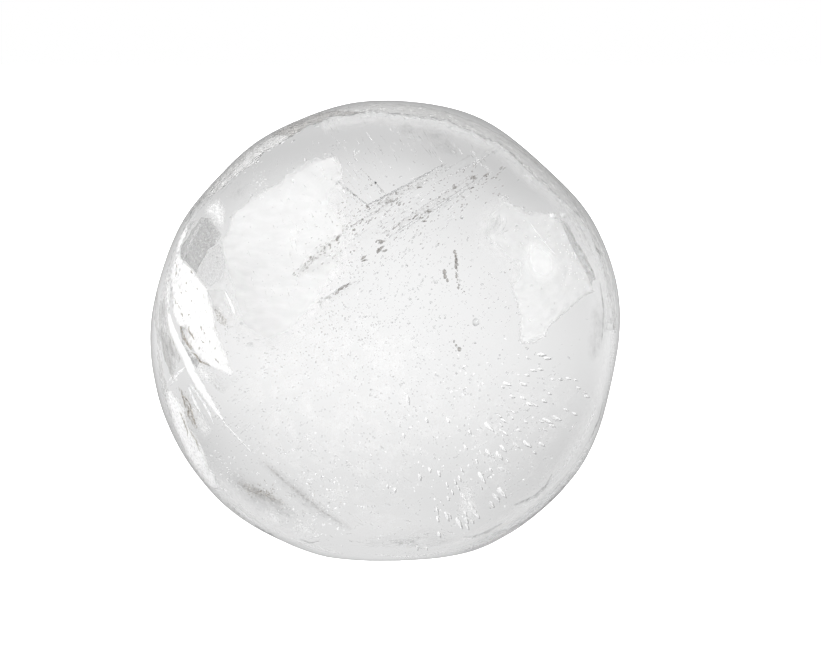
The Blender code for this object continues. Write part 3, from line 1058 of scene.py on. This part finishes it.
# %% The veil's plane, bands and scratches
VEIL_PLANE = [(350, 282, 0.38), (443, 164, 0.5), (498, 176, 0.45)]
VEIL = on_plane(VEIL_PLANE)
VEIL_BANDS = [
    ([(358, 214), (400, 194), (444, 170)], 12), ([(322, 262), (372, 232), (424, 200)], 12),
    ([(384, 242), (430, 212), (486, 178)], 11), ([(316, 308), (340, 292), (362, 280)], 9),
    ([(440, 176), (470, 160), (500, 148)], 10), ([(296, 276), (312, 256), (346, 232)], 10),
]
SCRATCHES = [
    ([(366, 206), (404, 186), (444, 164)], 1.2), ([(346, 229), (398, 198)], 1.0),
    ([(380, 235), (468, 176)], 1.0), ([(335, 180), (369, 206)], 0.9), ([(360, 168), (392, 200)], 0.9),
    ([(318, 302), (350, 282)], 0.9), ([(430, 186), (498, 150)], 0.9), ([(400, 232), (490, 174)], 0.9),
]
bands = ribbons(VEIL_BANDS, VEIL, False, 160, faded=True, ripple=0.05)
finish_piece(join(bands), "veil_bands", HEALING_CRACK)
scratches = ribbons(SCRATCHES, VEIL, False, 170, grain=3, fray=0.5, gap=0.05)
finish_piece(join(scratches), "veil_scratches", OPEN_CRACK)

# %% [markdown]
# Grey threads lie in the bands. A few lines are sharper than all others: some in the veil,
# and some painted as shade where a fold low on the ball turns the light away.

# %% Grey threads, sharp lines and painted fold shade
VEIL_LINES = [  # path, width, and how far in from the edge they show in full
    ([(364, 212), (404, 192), (446, 170)], 8, 4), ([(318, 303), (334, 293), (350, 282)], 2.2, 1.0),
    ([(344, 232), (372, 214), (400, 199)], 5, 2.5), ([(380, 238), (424, 208), (470, 178)], 5, 2.5),
    ([(296, 276), (318, 254), (346, 232)], 7, 3.5),
]
lines = []
for number, (path, width, reach) in enumerate(VEIL_LINES):
    thread, soft = ribbon(path, width), closed(ribbon(path, width))
    lines.append(
        sheet_in_ice(thread, VEIL, True, soft=soft, reach=reach, grain=3, fray=0.5, seed=480 + number)
    )
finish_piece(join(lines), "veil_lines", GREY_THREAD)
SHARP_LINES = [  # path, width, and where it lies
    ([(366, 206), (404, 186), (444, 164)], 1.6, VEIL), ([(336, 180), (369, 206)], 0.6, VEIL),
    ([(398, 230), (440, 203), (478, 178)], 1.0, VEIL),
    # the next four are lines of painted shade along folds low on the ball
    ([(552, 474), (546, 486), (534, 497), (514, 505)], 2.4, near_skin(0.5)),
    ([(502, 523), (487, 532), (473, 537), (463, 537)], 1.8, near_skin(0.5)),
    ([(566, 487), (548, 504), (528, 519), (506, 532)], 1.6, near_skin(0.4)),
    ([(603, 402), (599, 420), (589, 441)], 0.9, near_skin(0.4)),
    ([(600, 282), (604, 310), (602, 340)], 1.4, near_skin(0.6)),
    ([(254, 527), (266, 534), (279, 539)], 1.4, near_skin(0.4)),
    ([(300, 539), (310, 543), (319, 541)], 1.4, near_skin(0.4)),
]
lines = [
    sheet_in_ice(ribbon(path, width), place, True, grain=3, fray=0.3, seed=490 + n)
    for n, (path, width, place) in enumerate(SHARP_LINES)
]
finish_piece(join(lines), "sharp_lines", THIN_SHADE)
WHITE_HAIRS = [
    [(462, 170), (482, 158), (500, 148)], [(470, 150), (482, 164), (492, 174)], [(474, 166), (490, 152)],
]
hairs = ribbons([(path, 1.4) for path in WHITE_HAIRS], VEIL, True, 180, grain=3, fray=0.5)
finish_piece(join(hairs), "white_hairs", THIN_FROST)

# %% [markdown]
# Finer hairs, each a crack closed to a thread, run across the top zone, and in small fans at the
# lower left and lower right.

# %% Fans of fine hairs
HAIR_FANS = [  # middle, spread in pixels, way, how much the way varies, how many
    ((404, 142), (46, 14), (0.55, 0.83), 0.1, 90), ((352, 180), (20, 14), (0.6, 0.8), 0.1, 30),
    ((252, 424), (22, 18), (0.8, -0.6), 0.25, 24), ((530, 440), (34, 30), (0.8, -0.6), 0.3, 40),
    ((400, 540), (50, 10), (0.98, 0.2), 0.2, 40), ((300, 506), (30, 18), (0.84, 0.54), 0.15, 40),
    ((432, 196), (34, 14), (0.85, -0.53), 0.06, 60), ((300, 250), (30, 34), (0.3, 0.95), 0.15, 40),
    ((340, 486), (44, 22), (0.8, 0.6), 0.1, 40), ((320, 400), (50, 40), (0.8, -0.6), 0.2, 24),
]
HAIR_REACH = 0.95  # of the ball's radius
HAIR_WIDTH = 0.9  # pixels


def hair_paths(fans, seed):
    """Short paths, strewn round the middle of each fan and inside the ball's outline."""
    dice = random.Random(seed)
    found = []
    for middle, spread, way, stray, count in fans:
        for _ in range(count):
            spot = Vector(middle) + Vector((dice.gauss(0, spread[0]), dice.gauss(0, spread[1])))
            turned = Vector(way) + Vector((dice.gauss(0, stray), dice.gauss(0, stray)))
            along = turned.normalized() * dice.uniform(2, 6.5)
            if (spot - BALL_PX).length + along.length < BALL_RADIUS_PX * HAIR_REACH:
                found.append([spot - along, spot, spot + along])
    return found


hair_lines = [(path, HAIR_WIDTH) for path in hair_paths(HAIR_FANS, 200)]
for name, lines, frosted, material in (
    ("dark_hairs", hair_lines[::2], False, HEALING_CRACK),
    ("light_hairs", hair_lines[1::2], True, THREAD_FROST),
):
    hairs = ribbons(lines, near_skin(2.5), frosted, 400, grain=4, fray=0.4, gap=0.04)
    finish_piece(join(hairs), name, material)

# %% [markdown]
# ## Bubbles
#
# Water pushes its air ahead of the ice as it freezes, so the last bubbles lie along rays from the
# ball's heart, and the ones near the skin are drawn out into tears. An icosphere of 20 faces is
# enough for a speck of a tenth of a millimetre.

# %% Bubbles by the hundred
BATCH = 60  # bubbles made in one bmesh, which slows down as it grows


def bubble_cloud(name, bubbles, fineness, material, torn=0.0, taper=0.0, frosted=False):
    """One mesh of small voids. A bubble is its place, radius, stretch and the way it is drawn out."""
    dice = random.Random(name)
    cloud = []
    for first in range(0, len(bubbles), BATCH):
        some = bmesh.new()
        for place, radius, stretch, way in bubbles[first : first + BATCH]:
            turn = way.to_track_quat("Z", "Y")
            made = bmesh.ops.create_icosphere(some, subdivisions=fineness, radius=1)
            for vertex in made["verts"]:
                spread = radius * (1 + dice.uniform(-torn, torn)) * (1 - taper * vertex.co.z)
                shape = Vector((vertex.co.x * spread, vertex.co.y * spread, vertex.co.z * radius * stretch))
                vertex.co = place + turn @ shape
        if not frosted:
            bmesh.ops.reverse_faces(some, faces=some.faces)
        layer = some.verts.layers.float.new("shown")
        for vertex in some.verts:
            vertex[layer] = 1.0
        cloud.append(some)
    return finish_piece(join(cloud), name, material)


# %% [markdown]
# The finest bubbles fill the middle, a little denser at its left.

# %% Specks through the middle
SPECKS = 3600
SPECK_MIDDLE_PX = (366, 322)
SPECK_SPREAD_PX = (84, 72)
SPECK_REACH = 0.87  # of the ball's radius
SPECK_RADII = [0.026, 0.03, 0.034, 0.038, 0.044, 0.055, 0.08]


def specks(count, seed):
    """Specks about the middle, drawn out a little along rays from the heart."""
    dice = random.Random(seed)
    found = []
    while len(found) < count:
        pixel = Vector([dice.gauss(*place) for place in zip(SPECK_MIDDLE_PX, SPECK_SPREAD_PX)])
        if (pixel - BALL_PX).length > BALL_RADIUS_PX * SPECK_REACH:
            continue
        place = in_ice(pixel, dice.uniform(0.15, 0.9))
        way = (place - HEART).normalized()
        found.append((place, dice.choice(SPECK_RADII) * MM, dice.uniform(1.0, 2.2), way))
    return found


bubble_cloud("specks", specks(SPECKS, 3), 1, CLEAR_AIR, torn=0.2)

# %% [markdown]
# The tears at the lower right are white, up to 2 mm long, and point away from the heart. The
# light comes from above and the left, so each has a grey side, made as a second tear just behind it.

# %% Tears at the lower right
TEAR_HEART_PX = Vector((400, 350))  # the tears point away from there
LONG_TEARS = [
    (552, 425), (528, 443), (542, 444), (498, 456), (502, 492), (502, 448), (489, 427), (482, 476),
    (492, 504), (437, 509), (496, 497), (488, 452), (548, 420), (556, 418), (466, 520), (459, 524),
    (474, 512), (470, 506), (447, 516), (464, 498),
]
TEARS = [
    (542, 355), (547, 358), (540, 369), (533, 370), (527, 375), (552, 379), (522, 384), (507, 384),
    (502, 387), (549, 393), (523, 397), (513, 396), (544, 402), (535, 405), (529, 403), (513, 411),
    (499, 417), (504, 420), (512, 418), (525, 421), (540, 421), (500, 425), (544, 429), (518, 430),
    (504, 432), (491, 457), (477, 461), (464, 447), (438, 473), (497, 498), (466, 500), (472, 507),
    (477, 516), (471, 522), (467, 528), (450, 517), (437, 518), (465, 514), (439, 535), (417, 548),
    (426, 548), (560, 379), (568, 378), (576, 380), (578, 387), (584, 392), (588, 397), (566, 410),
    (573, 414), (426, 420), (404, 436), (408, 398), (448, 420), (470, 430), (446, 484), (452, 492),
    (458, 488), (462, 494), (455, 482), (448, 498), (470, 496), (480, 488), (460, 478), (429, 470),
    (420, 476), (395, 490), (388, 486), (462, 470), (516, 446), (533, 452), (508, 462), (490, 470),
]


def tears(pixels, radius, stretch, seed):
    """Tears near the front skin, each close to its pixel."""
    dice = random.Random(seed)
    found = []
    for pixel in pixels:
        spot = Vector(pixel) + Vector((dice.gauss(0, 0.6), dice.gauss(0, 0.6)))
        place = in_ice(spot, dice.uniform(0.08, 0.2))
        outward = Vector(pixel) - TEAR_HEART_PX
        way = camera_right * outward.x - camera_up * outward.y - to_camera * outward.length * 0.4
        found.append((place, dice.uniform(*radius) * MM, dice.uniform(*stretch), way.normalized()))
    return found


white_tears = tears(LONG_TEARS, (0.15, 0.21), (3.0, 4.6), 4) + tears(TEARS, (0.08, 0.15), (2.0, 4.2), 5)
bubble_cloud("tears", white_tears, 2, TEAR_FROST_AND_HIGHLIGHTS, taper=0.45, frosted=True)
SHADE_ASIDE_MM = 0.11
SHADE_BEHIND_MM = 0.3
to_shade = (camera_right - camera_up) * SHADE_ASIDE_MM * MM - to_camera * SHADE_BEHIND_MM * MM
shades = [(place + to_shade, radius, stretch, way) for place, radius, stretch, way in white_tears]
bubble_cloud("shaded_sides_of_tears", shades, 2, TEAR_SHADE, taper=0.45, frosted=True)

# %% [markdown]
# Grit is smaller and rounder: bubbles strewn in patches, some clear and some frosted white, and a
# few grains of silt where the ice is smudged. Two tiny white patches are painted highlights of two single
# bubbles.

# %% Grit in patches
CLEAR_GRIT = [  # how many, round which pixel, spread in pixels, radii in mm, seed, depth shares
    (160, (500, 430), (38, 50), (0.06, 0.16), 6), (120, (420, 500), (60, 26), (0.05, 0.12), 7),
    (120, (280, 480), (50, 34), (0.05, 0.12), 8), (60, (230, 420), (24, 40), (0.05, 0.1), 9),
    (130, (386, 340), (90, 90), (0.03, 0.07), 29, (0.75, 0.97)),
]
WHITE_GRIT_AND_HIGHLIGHTS = [
    (110, (490, 440), (44, 50), (0.05, 0.12), 10), (60, (420, 480), (60, 30), (0.05, 0.1), 11),
    (70, (258, 179), (5, 9), (0.03, 0.07), 20), (90, (213, 211), (6, 8), (0.03, 0.08), 21),
    (40, (203, 246), (7, 12), (0.03, 0.06), 31), (60, (574, 258), (9, 20), (0.04, 0.08), 22),
    (40, (540, 235), (22, 12), (0.03, 0.07), 23), (70, (300, 526), (24, 10), (0.04, 0.1), 24),
    # the patches round (340, 143) and (357, 152) are painted highlights of two single bubbles
    (50, (222, 480), (12, 22), (0.05, 0.12), 25), (4, (340, 143), (1.2, 1.2), (0.05, 0.09), 34),
    (4, (357, 152), (1.5, 1.5), (0.05, 0.09), 35), (60, (340, 500), (36, 26), (0.04, 0.08), 36),
    (50, (290, 490), (40, 28), (0.05, 0.12), 12), (22, (328, 488), (16, 14), (0.05, 0.1), 18),
    (40, (185, 340), (14, 40), (0.06, 0.12), 13),
]
SILT_GRIT = [
    (90, (257, 491), (12, 4), (0.04, 0.08), 26), (50, (300, 495), (24, 14), (0.03, 0.06), 27),
    (60, (203, 246), (7, 12), (0.03, 0.06), 32), (40, (222, 318), (5, 8), (0.03, 0.06), 33),
    (40, (189, 410), (5, 12), (0.04, 0.09), 28),
]
GRIT_REACH = 0.93  # of the ball's radius


def patch_of_grit(count, centre, spread, radii, seed, depth=(0.1, 0.35)):
    """Small bubbles strewn round a pixel, and kept off the ball's outline."""
    dice = random.Random(seed)
    found = []
    while len(found) < count:
        pixel = Vector(centre) + Vector((dice.gauss(0, spread[0]), dice.gauss(0, spread[1])))
        if (pixel - BALL_PX).length > BALL_RADIUS_PX * GRIT_REACH:
            continue
        place = in_ice(pixel, dice.uniform(*depth))
        found.append((place, dice.uniform(*radii) * MM, dice.uniform(1, 1.8), (place - HEART).normalized()))
    return found


for name, patches, material, torn, frosted in (
    ("clear_grit", CLEAR_GRIT, CLEAR_AIR, 0.25, False),
    ("white_grit", WHITE_GRIT_AND_HIGHLIGHTS, TEAR_FROST_AND_HIGHLIGHTS, 0.25, True),
    ("silt_grains", SILT_GRIT, PIT_SILT, 0.3, True),
):
    grit = [bubble for patch in patches for bubble in patch_of_grit(*patch)]
    bubble_cloud(name, grit, 1, material, torn=torn, frosted=frosted)

# %% [markdown]
# White grains also lie along the seam belt, where the rough ice is broken.

# %% Grains along the seam
def seam_grains(count, seed):
    """Grains strewn along the belt's inner edge and drawn out along the rim."""
    dice = random.Random(seed)
    edge = along_path(BELT_EDGE, 1.0)
    found = []
    for _ in range(count):
        pixel = dice.choice(edge)
        pixel = pixel + (pixel - BALL_PX).normalized() * dice.gauss(1.5, 2.5)
        place = in_ice(pixel, 0.04)
        along = Vector((BALL_PX.y - pixel.y, pixel.x - BALL_PX.x)).normalized()
        way = camera_right * along.x - camera_up * along.y
        found.append((place, dice.uniform(0.06, 0.16) * MM, dice.uniform(1, 4), way))
    return found


bubble_cloud("white_seam_grains", seam_grains(170, 14), 1, TEAR_FROST_AND_HIGHLIGHTS, torn=0.3, frosted=True)
bubble_cloud("dark_seam_grains", seam_grains(110, 15), 1, CLEAR_AIR, torn=0.3)

# %% [markdown]
# A string of beads rises right of the middle, and some larger round bubbles stand alone.

# %% Strings of beads and single bubbles
BEADS = [
    ((455, 252), (457, 267), 8, 0.2), ((457, 268), (458, 288), 8, 0.12), ((444, 272), (447, 280), 3, 0.22),
    ((454, 341), (460, 349), 3, 0.17),
]
SINGLES = [
    ((476, 322), 0.4), ((279, 450), 0.18), ((304, 514), 0.2), ((338, 141), 0.12), ((355, 150), 0.15),
    ((462, 217), 0.24), ((319, 142), 0.12), ((472, 260), 0.12), ((321, 478), 0.16), ((330, 462), 0.13),
    ((362, 486), 0.12),
]
beads = []
dice = random.Random(16)
for start, end, count, radius in BEADS:
    for number in range(count):
        pixel = Vector(start).lerp(Vector(end), number / (count - 1)) + Vector((dice.gauss(0, 0.6), 0))
        size = radius * dice.uniform(0.6, 1.2) * MM
        beads.append((in_ice(pixel, 0.35), size, dice.uniform(1, 1.5), camera_up))
bubble_cloud("beads", beads, 3, DARK_AIR)
singles = [(in_ice(pixel, 0.3), radius * MM, 1.1, camera_up) for pixel, radius in SINGLES]
bubble_cloud("single_bubbles", singles, 3, CLEAR_AIR)

# %% [markdown]
# The veil's bubbles are torn and drawn out. They lie in rows along its bands and in small clusters.

# %% Torn bubbles of the veil
VEIL_ROWS = [
    ((366, 208), (444, 165), 60, 2.2, 0.05), ((344, 230), (400, 196), 40, 3, 0.065),
    ((378, 237), (470, 175), 44, 2.5, 0.06), ((396, 245), (488, 178), 36, 3, 0.06),
    ((430, 186), (498, 150), 30, 2.5, 0.06), ((317, 303), (350, 282), 44, 1.0, 0.075),
    ((334, 180), (369, 207), 34, 1, 0.05), ((360, 168), (392, 202), 20, 1, 0.05),
    ((352, 225), (290, 285), 60, 3, 0.065), ((300, 260), (360, 222), 40, 5, 0.06),
]
VEIL_CLUSTERS = [
    (392, 203, 4, 7, 0.11), (398, 195, 3, 4, 0.1), (419, 187, 1.5, 3, 0.12), (420, 219, 3.4, 6, 0.15),
    (427, 212, 2, 4, 0.13), (457, 187, 1.5, 3, 0.12), (462, 197, 1.5, 3, 0.12), (472, 188, 1.5, 3, 0.12),
    (474, 177, 1.6, 4, 0.15), (485, 175, 1.5, 3, 0.12), (497, 177, 2, 3, 0.11), (503, 170, 2.5, 4, 0.1),
    (368, 222, 1.5, 3, 0.13), (340, 237, 2, 3, 0.17), (380, 241, 2, 3, 0.17), (382, 250, 2, 3, 0.15),
    (365, 260, 2, 3, 0.13), (326, 298, 2.5, 4, 0.1), (340, 290, 2.5, 4, 0.1), (350, 216, 14, 60, 0.045),
    (395, 215, 16, 50, 0.06), (448, 184, 12, 26, 0.06), (333, 250, 16, 50, 0.06), (440, 205, 14, 30, 0.055),
    (410, 250, 20, 36, 0.045), (480, 190, 14, 24, 0.06), (300, 330, 40, 50, 0.045), (468, 290, 24, 30, 0.045),
]


def torn_bubble(pixel, radius, along, dice):
    """A torn bubble on the veil, drawn out roughly along a direction."""
    way = along.normalized() + Vector([dice.gauss(0, 0.3) for _ in range(3)])
    return VEIL(pixel), radius * dice.uniform(0.4, 1.2) * MM, dice.uniform(1.2, 3.5), way


def veil_bubbles(seed):
    """The torn bubbles of all rows and clusters of the veil."""
    dice = random.Random(seed)
    found = []
    for start, end, count, scatter, radius in VEIL_ROWS:
        start, end = Vector(start), Vector(end)
        across = Vector((start.y - end.y, end.x - start.x)).normalized()
        along = camera_right * (end.x - start.x) + camera_up * (start.y - end.y)
        for _ in range(count):
            pixel = start.lerp(end, dice.random()) + across * dice.expovariate(1 / scatter)
            found.append(torn_bubble(pixel, radius, along, dice))
    slope = camera_right * 0.85 + camera_up * 0.5
    for x, y, spread, count, radius in VEIL_CLUSTERS:
        for _ in range(count):
            pixel = (x + dice.gauss(0, spread), y + dice.gauss(0, spread * 0.6))
            found.append(torn_bubble(pixel, radius, slope, dice))
    return found


bubble_cloud("veil_bubbles", veil_bubbles(17), 1, DARK_AIR, torn=0.4)

# %% [markdown]
# ## Long light paths
#
# A ray may cross the skin and many bubbles before it leaves. With too few bounces they turn black.

# %% Let light pass through many voids
cycles = bpy.context.scene.cycles
cycles.max_bounces = 32
cycles.transmission_bounces = 32
cycles.transparent_max_bounces = 32
cycles.glossy_bounces = 16
cycles.diffuse_bounces = 12
